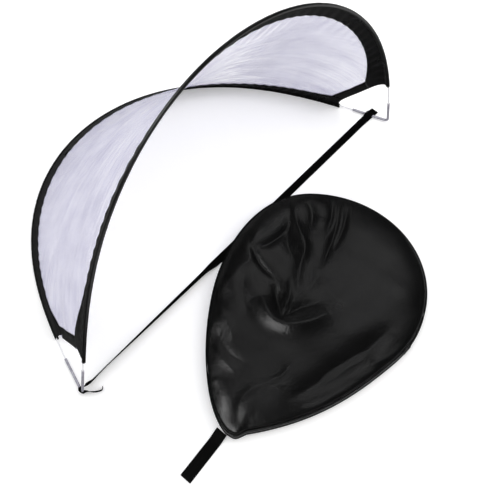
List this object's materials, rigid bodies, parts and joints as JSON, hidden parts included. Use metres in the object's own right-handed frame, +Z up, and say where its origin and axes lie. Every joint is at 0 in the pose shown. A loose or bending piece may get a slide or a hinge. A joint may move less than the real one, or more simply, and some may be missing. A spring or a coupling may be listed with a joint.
{
  "type": "pop-up hockey goal net with carry bag",
  "caption": "Folding pop-up goal: a mesh sheet held between two sprung rods on bent corner tubes, with a ground strap and a zipped carry bag.",
  "frame": {"origin": "on the floor, at the middle of the footprint of the standing goal and its bag", "axes": "+X along the mouth from the left corner to the right one, +Y back over the rear arch, +Z up"},
  "size_m": [1.2057, 1.147, 0.7783],
  "materials": {
    "fibreglass_rod": "white pultruded fibreglass, satin",
    "corner_tube": "zinc-plated steel tube, dull",
    "band_cloth": "black woven polyester, slightly shiny",
    "net_mesh": "fine white polyester mesh, lavender in shade",
    "webbing": "black woven webbing, matt",
    "bag_cloth": "black coated nylon, wrinkled and glossy",
    "piping": "black corded edge binding",
    "zip_coil": "black nylon coil",
    "zip_metal": "black enamelled zinc"
  },
  "bodies": {
    "rear_frame": {"rear_arch_rod": "fibreglass_rod", "front_rod_stub_left": "fibreglass_rod", "front_rod_stub_right": "fibreglass_rod", "corner_tube_left": "corner_tube", "corner_tube_right": "corner_tube", "rear_sleeve": "band_cloth", "hem_left": "band_cloth", "hem_right": "band_cloth", "net_panel": "net_mesh", "ground_strap": "webbing"},
    "front_arch": {"front_arch_rod": "fibreglass_rod", "front_sleeve": "band_cloth"},
    "carry_bag": {"bag_top_panel": "bag_cloth", "bag_bottom_panel": "bag_cloth", "bag_gusset": "bag_cloth", "bag_piping_top": "piping", "bag_piping_bottom": "piping", "bag_hand_strap": "webbing", "zip_chain": "zip_coil"},
    "zip_runner": {"zip_slider": "zip_metal", "zip_pull_pin": "zip_metal"},
    "zip_tab": {"zip_pull": "zip_metal"}
  },
  "joints": [
    {"name": "arch_fold", "type": "hinge", "parent": "rear_frame", "child": "front_arch", "pos_m": [0, -0.05393, 0.10091], "axis": [-1, 0.0048, 0.0001], "range_deg": [0, 82], "stiffness_Nm_per_rad": 1.5, "springref_deg": -17.19, "deforming": ["net_panel", "hem_left", "hem_right"]},
    {"name": "bag_lift", "type": "slide", "parent": "rear_frame", "child": "carry_bag", "axis": [0, 0, 1], "range_m": [0, 0.5]},
    {"name": "zip_travel", "type": "hinge", "parent": "carry_bag", "child": "zip_runner", "pos_m": [0.0134, -0.2714, 0.0184], "axis": [0, 0, 1], "range_deg": [0, 120]},
    {"name": "zip_pull_flip", "type": "hinge", "parent": "zip_runner", "child": "zip_tab", "pos_m": [0.0239, -0.572, 0.0184], "axis": [0, 0, -1], "range_deg": [0, 170]}
  ]
}
